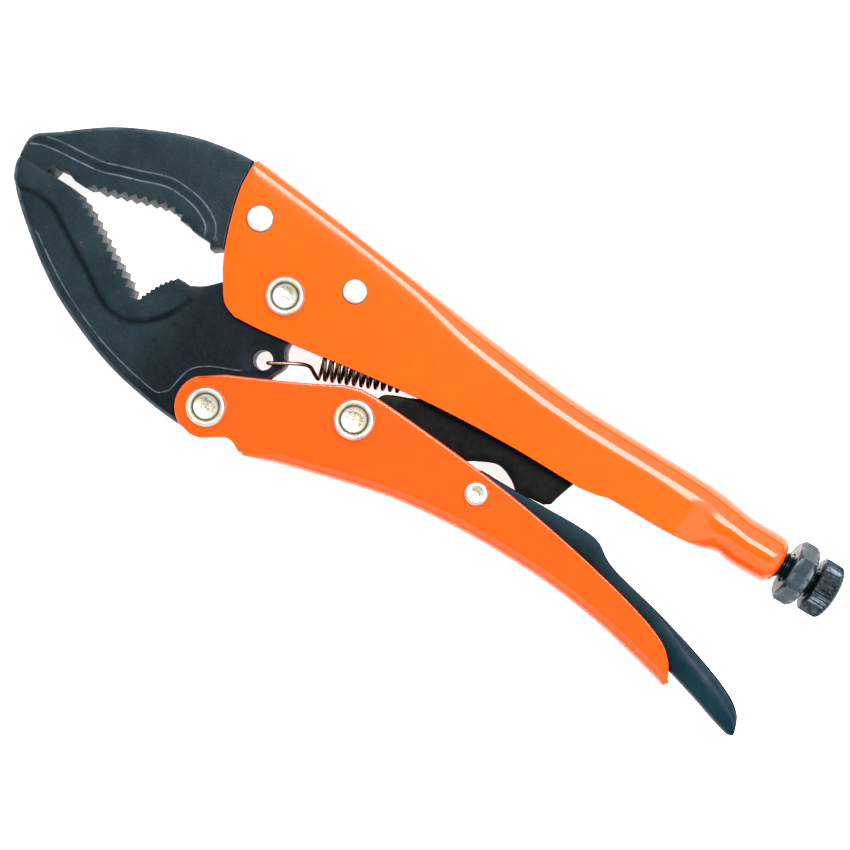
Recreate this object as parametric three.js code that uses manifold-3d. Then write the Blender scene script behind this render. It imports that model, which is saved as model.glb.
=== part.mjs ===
// Locking pliers with curved jaws, shut, lying on one side.
// They are modelled about the jaw pivot: +X runs along the adjusting screw towards its knob,
// +Y towards the back of the upper handle, and +Z through the thickness. The finished group
// is then moved so that its origin is at the middle of the underside of its box.
import * as THREE from 'three';
import { mergeVertices } from 'three/addons/utils/BufferGeometryUtils.js';
import Module from 'manifold-3d';

const wasm = await Module();
wasm.setup();

// ---- Driving dimensions, in millimetres ----
const SHEET = 1.6;                  // steel sheet of the two pressed handles
const CHANNEL = 10;                 // clear width inside both handles
const JAW_THICKNESS = 12;           // outside the handles
const TANG_THICKNESS = 9.4;         // where the jaws run inside the handles
const LINK_THICKNESS = 5;
const LEVER_WIDTH = 9.2;
const LEVER_SHEET = 1.3;
const GAP = 0.3;                    // running gap between neighbouring pieces
const HEAD_GAP = 0.2;               // from a rivet head to the sheet below it
const WALL = CHANNEL / 2 + SHEET;   // outer face of a handle wall, from the middle plane

const JAW_PIVOT = [0, 0];
const HANDLE_PIVOT = [-2.2, -27.1];
const LINK_PIVOT = [24.5, -14.1];
const LEVER_PIVOT = [53, -14.2];
const FRONT_RIVET = [-12.3, 10.7];
const REAR_RIVET = [11.45, 7.95];

// Radii
const PIVOT_SHANK = 2.6;
const LEVER_SHANK = 1.7;
const FLUSH_FRONT = 2.85;
const FLUSH_REAR = 2.65;
const LOWER_JAW_HUB = 6.4;
const SPRING_HOLE = { at: [2.6, -13.3], radius: 2.05 };

const SCREW_Y = 5.3;                // height of the screw axis above the jaw pivot
const SCREW_RADIUS = 3;             // M6 thread
const BARREL = { start: 99.5, end: 113.2, radius: 5.2 };
const LINK_NOSE = [71, SCREW_Y];    // where the link pushes on the screw
const SCREW_TIP_GAP = 2.6;          // room between the link nose and the screw tip
const NUT = { start: 115.1, end: 119.4, acrossFlats: 11.6 };
const KNOB = { start: 120.9, end: 125.8, radius: 5.85 };

// Front edge of the upper handle, from its back to the corner under the jaw pivot
const HANDLE_FRONT = [[-18.7, 24], [-19.1, 18], [-18.7, 13], [-16.8, 6], [-14.5, 0], [-12.2, -4]];

const SPRING = { radius: 3.1, wire: 0.8, turns: 11.5, length: 17 };
const SPRING_START = [12.6, -8];
const SPRING_TILT = THREE.MathUtils.degToRad(22);
const SPRING_LUG = { low: [33.8, -0.5], high: [35, 1] };

const ROUND = 24;                   // sides of a round hole or turned piece
const THROUGH = 20;                 // longer than the tool is thick, for cuts right through
const TALL = 36;                    // taller than either handle, for blocks cut to outline

// ---- Materials ----
function finish(color, roughness, metalness) {
  return new THREE.MeshStandardMaterial({ color, roughness, metalness });
}
const ORANGE = finish(0xf0661c, 0.3, 0);
const FORGED_STEEL = finish(0x22282a, 0.45, 0.8);
const BLACK_STEEL = finish(0x1b1b1e, 0.5, 0.7);
const ZINC = finish(0xd8d2c0, 0.3, 1);
const DULL_STEEL = finish(0xa39a8c, 0.6, 0.8);
const BLUED_STEEL = finish(0x24222c, 0.35, 0.9);
const SPRING_STEEL = finish(0x3a3128, 0.35, 0.9);

// ---- Outlines ----
const line = (...points) => ({ points, smooth: false });
const curve = (...points) => ({ points, smooth: true });
const vector = ([x, y]) => new THREE.Vector2(x, y);

// One closed outline from straight and smooth runs of points.
function outline(...runs) {
  const shape = new THREE.Shape();
  shape.moveTo(...runs[0].points[0]);
  for (const { points, smooth } of runs) {
    if (!shape.currentPoint.equals(vector(points[0]))) shape.lineTo(...points[0]);
    const rest = points.slice(1);
    if (smooth) shape.splineThru(rest.map(vector));
    else rest.forEach((point) => shape.lineTo(...point));
  }
  return shape;
}

// Points of an arc; angles in degrees, anticlockwise where `to` is larger than `from`.
function arc([x, y], radius, from, to, steps = 12) {
  const points = [];
  for (let i = 0; i <= steps; i++) {
    const angle = THREE.MathUtils.degToRad(from + ((to - from) * i) / steps);
    points.push([x + radius * Math.cos(angle), y + radius * Math.sin(angle)]);
  }
  return line(...points);
}

// Saw teeth along a smooth root line; tips stand `depth` to the left of the way along it.
function sawTeeth(rootLine, count, depth) {
  const roots = new THREE.SplineCurve(rootLine.map(vector));
  const points = [rootLine[0]];
  for (let i = 0; i < count; i++) {
    const share = (i + 0.62) / count;
    const tip = roots.getPointAt(share);
    const along = roots.getTangentAt(share);
    points.push([tip.x - along.y * depth, tip.y + along.x * depth]);
    points.push(roots.getPointAt((i + 1) / count).toArray());
  }
  return line(...points);
}

// A smooth function of x through the given [x, value] points.
function profile(points) {
  const slope = (a, b) => (b[1] - a[1]) / (b[0] - a[0]);
  return (x) => {
    let i = 0;
    while (i < points.length - 2 && x > points[i + 1][0]) i++;
    const [a, b] = [points[i], points[i + 1]];
    const before = points[i - 1] ?? a;
    const after = points[i + 2] ?? b;
    const span = b[0] - a[0];
    const t = THREE.MathUtils.clamp((x - a[0]) / span, 0, 1);
    const startSlope = slope(before, b) * span;
    const endSlope = slope(a, after) * span;
    const hermite = (2 * t ** 3 - 3 * t ** 2 + 1) * a[1] + (t ** 3 - 2 * t ** 2 + t) * startSlope;
    return hermite + (3 * t ** 2 - 2 * t ** 3) * b[1] + (t ** 3 - t ** 2) * endSlope;
  };
}

// ---- Solids ----
function solid(geometry) {
  const plain = geometry.index ? geometry.clone() : geometry;
  plain.deleteAttribute('normal');
  plain.deleteAttribute('uv');
  const merged = mergeVertices(plain);
  return new wasm.Manifold(new wasm.Mesh({
    numProp: 3,
    vertProperties: new Float32Array(merged.attributes.position.array),
    triVerts: new Uint32Array(merged.index.array),
  }));
}

function plate(shape, thickness, curveSegments = 3) {
  const geometry = new THREE.ExtrudeGeometry(shape, {
    depth: thickness, bevelEnabled: false, curveSegments,
  });
  return solid(geometry.translate(0, 0, -thickness / 2));
}

function box([x0, y0, z0], [x1, y1, z1]) {
  const geometry = new THREE.BoxGeometry(x1 - x0, y1 - y0, z1 - z0);
  return solid(geometry.translate((x0 + x1) / 2, (y0 + y1) / 2, (z0 + z1) / 2));
}

// A round bar across the tool, centred on the middle plane.
function crossBar([x, y], radius, width) {
  const geometry = new THREE.CylinderGeometry(radius, radius, width, ROUND);
  return solid(geometry.rotateX(Math.PI / 2).translate(x, y, 0));
}

// A piece turned about the screw axis from [x, radius] points.
function turnedOnScrew(points, sides = ROUND) {
  const lathe = new THREE.LatheGeometry(points.map(([x, r]) => new THREE.Vector2(r, x)), sides);
  return solid(lathe.rotateZ(-Math.PI / 2).translate(0, SCREW_Y, 0));
}

function screwBore(from, to) {
  const radius = SCREW_RADIUS + GAP;
  return turnedOnScrew([[from, 0], [from, radius], [to, radius], [to, 0]]);
}

// A ring of [y, z] points: a block with two rounded corners on its `up` side (+1 or -1).
function channelRing({ ridge, halfWidth, corner, up, depth }) {
  const steps = 3;
  const ring = [[ridge - up * depth, -halfWidth]];
  for (const side of [-1, 1]) {
    for (let i = 0; i <= steps; i++) {
      const turn = (side < 0 ? i : steps - i) * (Math.PI / 2 / steps);
      const y = ridge - up * corner * (1 - Math.sin(turn));
      const z = side * (halfWidth - corner * (1 - Math.cos(turn)));
      ring.push([y, z]);
    }
  }
  ring.push([ridge - up * depth, halfWidth]);
  return up > 0 ? ring : ring.reverse();
}

// A solid lofted along X through one ring per station, closed at both ends.
function loftAlongX(stations, ringAt) {
  const rings = stations.map(ringAt);
  const sides = rings[0].length;
  const positions = rings.flatMap((ring, i) => ring.flatMap(([y, z]) => [stations[i], y, z]));
  const index = [];
  for (let i = 0; i < rings.length - 1; i++) {
    for (let j = 0; j < sides; j++) {
      const [a, b] = [i * sides + j, i * sides + ((j + 1) % sides)];
      index.push(a, b, a + sides, b, b + sides, a + sides);
    }
  }
  const last = (rings.length - 1) * sides;
  for (let j = 1; j < sides - 1; j++) {
    index.push(0, j + 1, j);
    index.push(last, last + j, last + j + 1);
  }
  const geometry = new THREE.BufferGeometry();
  geometry.setAttribute('position', new THREE.Float32BufferAttribute(positions, 3));
  geometry.setIndex(index);
  return solid(geometry);
}

function stationsBetween(from, to, spacing) {
  const count = Math.ceil((to - from) / spacing);
  return Array.from({ length: count + 1 }, (_, i) => from + ((to - from) * i) / count);
}

// A pressed channel: an outer block less the same block drawn in by the sheet thickness.
function pressedChannel({ ridge, halfWidth, corner, up, depth, from, to, hollowFrom, hollowTo }) {
  const spacing = 7;
  const outer = loftAlongX(stationsBetween(from, to, spacing), (x) => channelRing({
    ridge: ridge(x), halfWidth: halfWidth(x), corner: corner(x), up, depth,
  }));
  const hollow = loftAlongX(stationsBetween(hollowFrom, hollowTo, spacing), (x) => channelRing({
    ridge: ridge(x) - up * SHEET,
    halfWidth: halfWidth(x) - SHEET,
    corner: Math.max(corner(x) - SHEET, GAP),
    up,
    depth: depth + SHEET,
  }));
  return outer.subtract(hollow);
}

function mesh(name, body, material) {
  const { vertProperties, triVerts } = body.getMesh();
  const geometry = new THREE.BufferGeometry();
  geometry.setAttribute('position', new THREE.Float32BufferAttribute(vertProperties, 3));
  geometry.setIndex(Array.from(triVerts));
  geometry.computeVertexNormals();
  const piece = new THREE.Mesh(geometry, material);
  piece.name = name;
  return piece;
}

// ---- Upper handle: a pressed channel that closes into a threaded barrel ----
function upperHandle() {
  const back = [[-22, 21.1], [-17.5, 20.7], [0, 18.7], [20, 16.3], [40, 14.2], [60, 12.3],
    [80, 11.9], [96, 11.7], [101, 10.9], [104, 10.4]];
  const channel = pressedChannel({
    ridge: profile(back),
    halfWidth: (x) => THREE.MathUtils.lerp(WALL, 4.8, THREE.MathUtils.smoothstep(x, 84, 104)),
    corner: profile([[-22, 2.2], [20, 2.2], [38, 4.4], [90, 4.6], [104, 4.8]]),
    up: 1,
    depth: TALL,
    from: -22,
    to: 102,
    hollowFrom: -24,
    hollowTo: 100,
  });
  const edges = outline(
    curve(...HANDLE_FRONT, [-9.7, -7.5], [-6.6, -8.8], [0, -8.3], [20, -5.5], [36, -3.5], [54, -2.5],
      [70, -2.5]),
    curve([73.3, -2.2], [76, -1.3], [92, -1], [98, -0.3], [101, 0.6]),
    line([104, 0.6], [104, 24]),
  );
  const barrel = turnedOnScrew([
    [BARREL.start, 0], [BARREL.start, 4.4], [101.5, 4.6], [104, BARREL.radius],
    [111.4, BARREL.radius], [112.4, 4.8], [BARREL.end, 3.6], [BARREL.end, 0],
  ]);
  const lug = box([...SPRING_LUG.low, -WALL + SHEET / 2], [...SPRING_LUG.high, 1.5]);
  const body = channel
    .intersect(plate(edges, THROUGH))
    .add(barrel)
    .subtract(screwBore(BARREL.start - 4, BARREL.end + 1))
    .subtract(crossBar(JAW_PIVOT, PIVOT_SHANK + GAP, 20))
    .subtract(crossBar(FRONT_RIVET, FLUSH_FRONT + GAP, 20))
    .subtract(crossBar(REAR_RIVET, FLUSH_REAR + GAP, 20))
    .add(lug);
  return mesh('upper_handle', body, ORANGE);
}

// ---- Jaws ----
// Thins a jaw on both sides where `zone` covers it.
function thinned(jaw, zone) {
  const slab = plate(zone, THROUGH);
  const kept = box([-80, -60, -TANG_THICKNESS / 2], [80, 60, TANG_THICKNESS / 2]);
  return jaw.subtract(slab.subtract(kept));
}

function upperJaw() {
  const shape = outline(
    curve([-60.4, -2.2], [-60.4, 1.8], [-56, 5.1], [-48, 11], [-40, 15.1], [-32, 18.2],
      [-24, 19.8], [-19.5, 20.1]),
    line([-19.3, 18], [0, 16.6], [15, 14.8]),
    curve([16.5, 13.5], [18, 9], [16.5, 4.4]),
    line([7.6, 3.2]),
    arc(JAW_PIVOT, LOWER_JAW_HUB + 1, 25, 168, 10),
    line([-15.3, 1.6], [-16.2, 1.6], [-17.9, 0.3], [-18.7, 1.5], [-22.6, 1.6]),
    sawTeeth([[-24.3, 2.3], [-26.5, 3.5], [-29.3, 3.85], [-33, 3.05], [-38.5, 1.3], [-44.1, -0.5]],
      10, 0.95),
    line([-46, -1.8], [-48, -1.9], [-50, -1.1], [-53.4, -1.5], [-53.8, -3.1], [-59.9, -3.2]),
  );
  const tang = outline(
    curve(...HANDLE_FRONT.map(([x, y]) => [x - 0.4, y])),
    line([30, -4], [30, 24]),
  );
  const body = thinned(plate(shape, JAW_THICKNESS), tang)
    .subtract(crossBar(FRONT_RIVET, FLUSH_FRONT + GAP, 20))
    .subtract(crossBar(REAR_RIVET, FLUSH_REAR + GAP, THROUGH));
  return mesh('upper_jaw', body, FORGED_STEEL);
}

function lowerJaw() {
  const shape = outline(
    curve([-60.2, -3.6], [-60, -5.5], [-58, -9.2], [-52, -14.7], [-44, -20.8], [-36, -25.3],
      [-24, -30], [-12, -32.5], [-3, -33.2]),
    arc(HANDLE_PIVOT, 6.1, 270, 360, 6),
    curve([4, -24], [4, -19.5], [5.8, -15.2], [7, -12], [5.5, -9], [5.6, -5]),
    arc(JAW_PIVOT, LOWER_JAW_HUB, -30, 190, 14),
    curve([-9.5, -1.6], [-12.2, -3.8], [-15, -6.5], [-17.6, -8]),
    line([-20.4, -7.9]),
    curve([-21.2, -8.7], [-22.9, -11.1], [-24.3, -13.8], [-24.8, -15.2], [-26, -15.9]),
    sawTeeth([[-26.9, -16], [-29.5, -13.9], [-36.2, -10.1], [-43, -6], [-47.6, -4.1]], 12, -0.9),
    line([-49, -3.4], [-53, -3.4]),
  );
  const lugs = outline(
    arc(HANDLE_PIVOT, 8.1, 235, 105, 10),
    line([0, -17.6]),
    arc(SPRING_HOLE.at, 4.4, 238, 150, 6),
    curve([-2.4, -10.6], [-7, -10], [-10.6, -8.4], [-12.1, -6.2], [-13.6, -3.2]),
    line([-16, 12], [16, 12], [16, -40], [-9, -40]),
  );
  const body = thinned(plate(shape, JAW_THICKNESS), lugs)
    .subtract(crossBar(JAW_PIVOT, PIVOT_SHANK + GAP, 20))
    .subtract(crossBar(HANDLE_PIVOT, PIVOT_SHANK + GAP, 20))
    .subtract(crossBar(SPRING_HOLE.at, SPRING_HOLE.radius, THROUGH));
  return mesh('lower_jaw', body, FORGED_STEEL);
}

// ---- Lower handle: a pressed channel, open towards the upper handle ----
function lowerHandle() {
  const webStart = 7.4;
  const belly = [[-10, -36.6], [0, -34.2], [8.8, -31.8], [17.4, -29.2], [26.7, -26.7], [38, -24],
    [50, -22.5], [62, -22], [76, -22.5], [88, -24.1], [98, -26.3], [106, -28.3]];
  const channel = pressedChannel({
    ridge: profile(belly),
    halfWidth: () => WALL,
    corner: () => 2.6,
    up: -1,
    depth: TALL,
    from: -10,
    to: 106,
    hollowFrom: -12,
    hollowTo: 108,
  });
  const [x, y] = HANDLE_PIVOT;
  const edges = outline(
    curve([-6.3, -22], [-4, -20.5], [4, -16.8], [14, -12], [20, -8.9], [24, -8], [32, -8.3],
      [50, -9.8], [62, -11.3], [76, -13.8], [90, -17], [99, -20], [103, -23], [104.8, -26]),
    line([104.9, -27.2], [104, -27.8], [104, -40], [8.8, -40], [8.8, -31.8]),
    curve([7.6, -31.6], [6.2, -30.6], [4.4, -30.4], [0.1, -33]),
    arc([x, y], 6.4, 285, 130, 12),
  );
  const frontOpening = box([-12, -40, -CHANNEL / 2], [webStart, 0, CHANNEL / 2]);
  const body = channel
    .intersect(plate(edges, THROUGH))
    .subtract(frontOpening)
    .subtract(crossBar(HANDLE_PIVOT, PIVOT_SHANK + GAP, 20))
    .subtract(crossBar(LINK_PIVOT, PIVOT_SHANK + GAP, 20))
    .subtract(crossBar(LEVER_PIVOT, LEVER_SHANK + GAP, THROUGH));
  return mesh('lower_handle', body, ORANGE);
}

// ---- Toggle link: a flat bar with a nose for the screw and a foot for the release lever ----
function toggleLink() {
  const noseRadius = 2.6;
  const nose = [LINK_NOSE[0] - noseRadius, LINK_NOSE[1]];
  const shape = outline(
    arc(LINK_PIVOT, 4.3, 75, 290, 12),
    curve([28, -17.6], [36, -14.6], [46, -10.8], [50, -8.6], [54, -7], [57.5, -8], [60, -9.8]),
    line([66, -9.2]),
    curve([67.3, -8.3], [67.9, -6], [68.9, -3], [70, 0]),
    arc(nose, noseRadius, -20, 105, 7),
    curve([62, 7.4], [52, 5.4], [42, 1], [33, -4], [28.5, -5.9], [26.6, -7.2], [26, -9.6]),
  );
  const body = plate(shape, LINK_THICKNESS).subtract(crossBar(LINK_PIVOT, PIVOT_SHANK + GAP, THROUGH));
  return mesh('toggle_link', body, BLACK_STEEL);
}

function linkSpacer(name, side) {
  const inner = LINK_THICKNESS / 2 + HEAD_GAP;
  const outer = CHANNEL / 2 - HEAD_GAP;
  const [x, y] = LINK_PIVOT;
  const ring = new THREE.LatheGeometry([
    new THREE.Vector2(PIVOT_SHANK + GAP, inner),
    new THREE.Vector2(4, inner),
    new THREE.Vector2(4, outer),
    new THREE.Vector2(PIVOT_SHANK + GAP, outer),
    new THREE.Vector2(PIVOT_SHANK + GAP, inner),
  ], ROUND);
  const turned = ring.rotateX((side * Math.PI) / 2).translate(x, y, 0);
  return mesh(name, solid(turned), ZINC);
}

// ---- Release lever: a channel under the link that ends in a finger pad ----
function releaseLever() {
  const [x, y] = LEVER_PIVOT;
  const shape = outline(
    arc([x, y], 4.6, 110, 250, 8),
    curve([60, -18.2], [80, -20.3], [95, -22.6], [105, -25], [112, -27], [121.4, -29.9]),
    curve([122.5, -28.8], [121.7, -26], [118.3, -23.1], [110, -19.7], [97.5, -16], [86, -13.3]),
    curve([82.5, -12], [79.5, -10], [76, -9.3], [66, -9.5], [56, -9.7]),
  );
  const inside = outline(
    line([44, -4], [44, -16.5], [60, -16.9], [80, -19], [94, -21], [97, -12], [97, -4]),
  );
  const body = plate(shape, LEVER_WIDTH)
    .subtract(plate(inside, LEVER_WIDTH - 2 * LEVER_SHEET))
    .subtract(crossBar(LEVER_PIVOT, LEVER_SHANK + GAP, THROUGH));
  return mesh('release_lever', body, BLACK_STEEL);
}

// ---- Rivets ----
// A rivet from [radius, height above the middle plane] points of its upper half.
function rivet(name, [x, y], upperHalf, material) {
  const lowerHalf = upperHalf.map(([radius, z]) => [radius, -z]).reverse();
  const points = [...lowerHalf, ...upperHalf].map(([radius, z]) => new THREE.Vector2(radius, z));
  const lathe = new THREE.LatheGeometry(points, 20);
  return mesh(name, solid(lathe.rotateX(Math.PI / 2).translate(x, y, 0)), material);
}

function headedRivet(name, place, shank, headRadius, headHeight) {
  const seat = WALL + HEAD_GAP;
  const top = WALL + headHeight;
  return rivet(name, place, [
    [shank, seat], [headRadius, seat], [headRadius, top - 0.4], [headRadius - 0.5, top],
    [headRadius * 0.68, top], [headRadius * 0.45, top - 0.9], [0, top - 0.9],
  ], ZINC);
}

function flushRivet(name, place, radius) {
  return rivet(name, place, [[radius, WALL], [0, WALL]], DULL_STEEL);
}

// ---- Jaw spring: close turns between two hooks ----
function jawSpring() {
  const { radius, wire, turns, length } = SPRING;
  const stepsPerTurn = 8;
  const along = new THREE.Vector3(Math.cos(SPRING_TILT), Math.sin(SPRING_TILT), 0);
  const across = new THREE.Vector3(-Math.sin(SPRING_TILT), Math.cos(SPRING_TILT), 0);
  const points = [[3.5, -13.3, -5.2], [3.5, -13.3, 0], [3.9, -13.2, 4.9], [5, -12.6, 5.3],
    [9.2, -10.2, 4.3], [11.2, -9.6, 2.6], [12.6, -10.3, 1.2]];
  for (let i = 0; i <= turns * stepsPerTurn; i++) {
    const angle = -Math.PI / 2 + (i * 2 * Math.PI) / stepsPerTurn;
    const centre = along.clone().multiplyScalar((length * i) / (turns * stepsPerTurn));
    centre.addScaledVector(across, radius * Math.sin(angle));
    const z = -radius * Math.cos(angle);
    points.push([SPRING_START[0] + centre.x, SPRING_START[1] + centre.y, z]);
  }
  points.push([30.2, 2.2, -0.9], [32.6, 2, 0], [35.2, 1.8, 0], [36.1, 0.4, 0], [35.6, -1, 0]);
  const path = new THREE.CatmullRomCurve3(points.map((point) => new THREE.Vector3(...point)));
  const section = new THREE.Shape();
  section.absarc(0, 0, wire / 2, 0, 2 * Math.PI);
  const tube = new THREE.ExtrudeGeometry(section, {
    steps: 140, extrudePath: path, curveSegments: 3, bevelEnabled: false,
  });
  return mesh('jaw_spring', solid(tube), SPRING_STEEL);
}

// ---- Adjusting screw, its knob and its lock nut ----
function adjustingScrew() {
  const tip = LINK_NOSE[0] + SCREW_TIP_GAP;
  const end = KNOB.end - 1.2;
  const body = turnedOnScrew([
    [tip, 0], [tip, 2], [tip + 1, SCREW_RADIUS], [end - 0.4, SCREW_RADIUS], [end, 2.6], [end, 0],
  ]);
  return mesh('adjusting_screw', body, BLUED_STEEL);
}

function adjustingKnob() {
  const { start, end, radius } = KNOB;
  const body = turnedOnScrew([
    [start, 0], [start, radius - 0.7], [start + 0.7, radius], [end - 1.1, radius],
    [end - 0.3, radius - 0.6], [end, radius - 1.6], [end, 0],
  ]).subtract(screwBore(start - 1, end - 1.2 + GAP));
  return mesh('adjusting_knob', body, BLUED_STEEL);
}

function lockNut() {
  const { start, end, acrossFlats } = NUT;
  const corner = acrossFlats / Math.sqrt(3);
  const hexagon = new THREE.CylinderGeometry(corner, corner, end - start, 6);
  const middle = (start + end) / 2;
  hexagon.rotateY(Math.PI / 2).rotateZ(Math.PI / 2).translate(middle, SCREW_Y, 0);
  const chamfered = turnedOnScrew([
    [start, 0], [start, corner - 1], [start + 0.8, corner], [end - 0.8, corner],
    [end, corner - 1], [end, 0],
  ]);
  const body = solid(hexagon).intersect(chamfered).subtract(screwBore(start - 1, end + 1));
  return mesh('lock_nut', body, BLUED_STEEL);
}

// ---- Assembly ----
function lockingPliers() {
  const tool = new THREE.Group();
  tool.add(
    upperHandle(),
    upperJaw(),
    flushRivet('upper_jaw_rivet_front', FRONT_RIVET, FLUSH_FRONT),
    flushRivet('upper_jaw_rivet_rear', REAR_RIVET, FLUSH_REAR),
    headedRivet('jaw_pivot_rivet', JAW_PIVOT, PIVOT_SHANK, 4.05, 1.3),
    lowerJaw(),
    lowerHandle(),
    headedRivet('handle_pivot_rivet', HANDLE_PIVOT, PIVOT_SHANK, 4.1, 1.3),
    headedRivet('link_pivot_rivet', LINK_PIVOT, PIVOT_SHANK, 4.25, 1.3),
    linkSpacer('link_spacer_near', 1),
    linkSpacer('link_spacer_far', -1),
    toggleLink(),
    releaseLever(),
    headedRivet('release_lever_rivet', LEVER_PIVOT, LEVER_SHANK, 2.45, 0.9),
    jawSpring(),
    adjustingScrew(),
    adjustingKnob(),
    lockNut(),
  );
  return tool;
}

// Puts the origin at the middle of the underside of the whole box.
function standOnOrigin(tool) {
  const bounds = new THREE.Box3().setFromObject(tool);
  const centre = bounds.getCenter(new THREE.Vector3());
  tool.position.set(-centre.x, -centre.y, -bounds.min.z);
  const root = new THREE.Group();
  root.add(tool);
  return root;
}

export default standOnOrigin(lockingPliers());
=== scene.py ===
"""Looks of the locking pliers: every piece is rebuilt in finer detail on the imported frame."""

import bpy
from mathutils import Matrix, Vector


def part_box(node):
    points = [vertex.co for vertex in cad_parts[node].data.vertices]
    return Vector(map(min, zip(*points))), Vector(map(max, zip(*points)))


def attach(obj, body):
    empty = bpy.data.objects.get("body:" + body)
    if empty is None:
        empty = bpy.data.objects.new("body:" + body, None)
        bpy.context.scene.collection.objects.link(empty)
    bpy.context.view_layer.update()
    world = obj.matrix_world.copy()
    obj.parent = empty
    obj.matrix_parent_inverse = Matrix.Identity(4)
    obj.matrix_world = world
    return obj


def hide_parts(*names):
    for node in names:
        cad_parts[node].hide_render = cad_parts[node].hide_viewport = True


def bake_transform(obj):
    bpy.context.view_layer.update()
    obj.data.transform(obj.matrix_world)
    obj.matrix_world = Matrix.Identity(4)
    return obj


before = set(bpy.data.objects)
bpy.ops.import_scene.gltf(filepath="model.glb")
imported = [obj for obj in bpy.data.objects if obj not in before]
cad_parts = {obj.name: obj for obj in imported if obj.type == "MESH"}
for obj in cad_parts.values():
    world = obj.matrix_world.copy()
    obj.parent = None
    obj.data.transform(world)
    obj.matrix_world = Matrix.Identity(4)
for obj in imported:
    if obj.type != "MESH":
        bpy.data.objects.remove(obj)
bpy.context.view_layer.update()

import math

import bmesh
import bpy
from mathutils import Vector
from mathutils.geometry import delaunay_2d_cdt

# ---- Driving dimensions, in millimetres about the jaw pivot, as in the CAD ----
MM = 0.001
PIVOT_LOW, PIVOT_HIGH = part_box("jaw_pivot_rivet")
JAW_PIVOT_AT = (PIVOT_LOW + PIVOT_HIGH) / 2
SHEET = 1.6       # thickness of the handles' sheet
WALL = 6.6        # outer face of a handle wall, from the middle plane
RIM = 6.0         # half thickness of the jaws along the teeth,
WEB = 5.25        # in the hollow beside them,
HUB = 4.85        # round the pivot
TANG = 4.7        # and inside the handles
JAW_PIVOT = (0, 0)
HANDLE_PIVOT = (-2.2, -27.1)
LINK_PIVOT = (24.5, -14.1)
LEVER_PIVOT = (53, -14.2)
FRONT_RIVET = (-12.3, 10.7)
REAR_RIVET = (11.45, 7.95)
SPRING_HOLE = (2.6, -13.3)
PIVOT_SHANK = 2.6
PIVOT_HOLE = 2.9
LEVER_SHANK = 1.7
SCREW_Y = 5.3
SCREW_BORE = 3.3
HANDLE_FRONT = [(-18.7, 24), (-19.1, 18), (-18.7, 13), (-16.8, 6), (-14.5, 0), (-12.2, -4)]
LOWER_CORNER = [(-9.7, -7.5), (-6.6, -8.8)]
HOLE_SIDES = 32
CREASE = 0.25     # from a step's line to the lines that keep its edge crisp
TOOTH_EDGE = 0.16

scene = bpy.context.scene


def put(name, data):
    """A new object in the scene."""
    obj = bpy.data.objects.new(name, data)
    scene.collection.objects.link(obj)
    return obj


# ---- Numbers and curves ----
def clamp(value, low=0.0, high=1.0):
    return max(low, min(high, value))


def lerp(a, b, share):
    return a + (b - a) * share


def smoothstep(value, start, end):
    share = clamp((value - start) / (end - start))
    return share * share * (3 - 2 * share)


def profile(points):
    """A smooth function of x through the given (x, value) points."""
    def slope(a, b):
        return (b[1] - a[1]) / (b[0] - a[0])

    def value(x):
        i = 0
        while i < len(points) - 2 and x > points[i + 1][0]:
            i += 1
        a, b = points[i], points[i + 1]
        before = points[max(i - 1, 0)]
        after = points[min(i + 2, len(points) - 1)]
        span = b[0] - a[0]
        t = clamp((x - a[0]) / span)
        start_slope = slope(before, b) * span
        end_slope = slope(a, after) * span
        return ((2 * t ** 3 - 3 * t ** 2 + 1) * a[1] + (t ** 3 - 2 * t ** 2 + t) * start_slope
                + (3 * t ** 2 - 2 * t ** 3) * b[1] + (t ** 3 - t ** 2) * end_slope)
    return value


def catmull(p0, p1, p2, p3, t):
    """The point at t on the smooth curve from p1 to p2."""
    start = (p2 - p0) / 2
    end = (p3 - p1) / 2
    return ((2 * p1 - 2 * p2 + start + end) * t ** 3
            + (3 * p2 - 3 * p1 - 2 * start - end) * t ** 2 + start * t + p1)


def spline(points, spacing=0.8):
    """Points along a smooth curve through the given ones, in 2D or 3D."""
    ways = [Vector(p) for p in points]
    result = [ways[0]]
    for i in range(len(ways) - 1):
        p0, p3 = ways[max(i - 1, 0)], ways[min(i + 2, len(ways) - 1)]
        steps = max(2, math.ceil((ways[i + 1] - ways[i]).length / spacing))
        for k in range(1, steps + 1):
            result.append(catmull(p0, ways[i], ways[i + 1], p3, k / steps))
    return result


def straight(points, spacing=1.0):
    """Points along straight lines through the given ones."""
    ways = [Vector(p) for p in points]
    result = [ways[0]]
    for a, b in zip(ways, ways[1:]):
        steps = max(1, math.ceil((b - a).length / spacing))
        result += [a.lerp(b, k / steps) for k in range(1, steps + 1)]
    return result


def arc(centre, radius, start, end, steps=20):
    """Points of an arc; angles in degrees."""
    result = []
    for k in range(steps + 1):
        angle = math.radians(lerp(start, end, k / steps))
        result.append(Vector((centre[0] + radius * math.cos(angle), centre[1] + radius * math.sin(angle))))
    return result


def full_turn(sides):
    """Equally spaced angles once round a circle, in radians."""
    return [2 * math.pi * k / sides for k in range(sides)]


def at_length(points, share):
    """Place and direction at a share of the length of a line of points."""
    lengths = [(b - a).length for a, b in zip(points, points[1:])]
    left = share * sum(lengths)
    for a, b, length in zip(points, points[1:], lengths):
        if left <= length or b is points[-1]:
            return a.lerp(b, left / length), (b - a).normalized()
        left -= length


def saw_teeth(root_line, count, depth):
    """Saw teeth along a smooth root line; tips stand depth to the left of the way along it."""
    roots = spline(root_line, 0.3)
    points = [roots[0]]
    for i in range(count):
        tip, along = at_length(roots, (i + 0.62) / count)
        points.append(tip + Vector((-along.y, along.x)) * depth)
        points.append(at_length(roots, (i + 1) / count)[0])
    return straight(points, 0.5)


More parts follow.
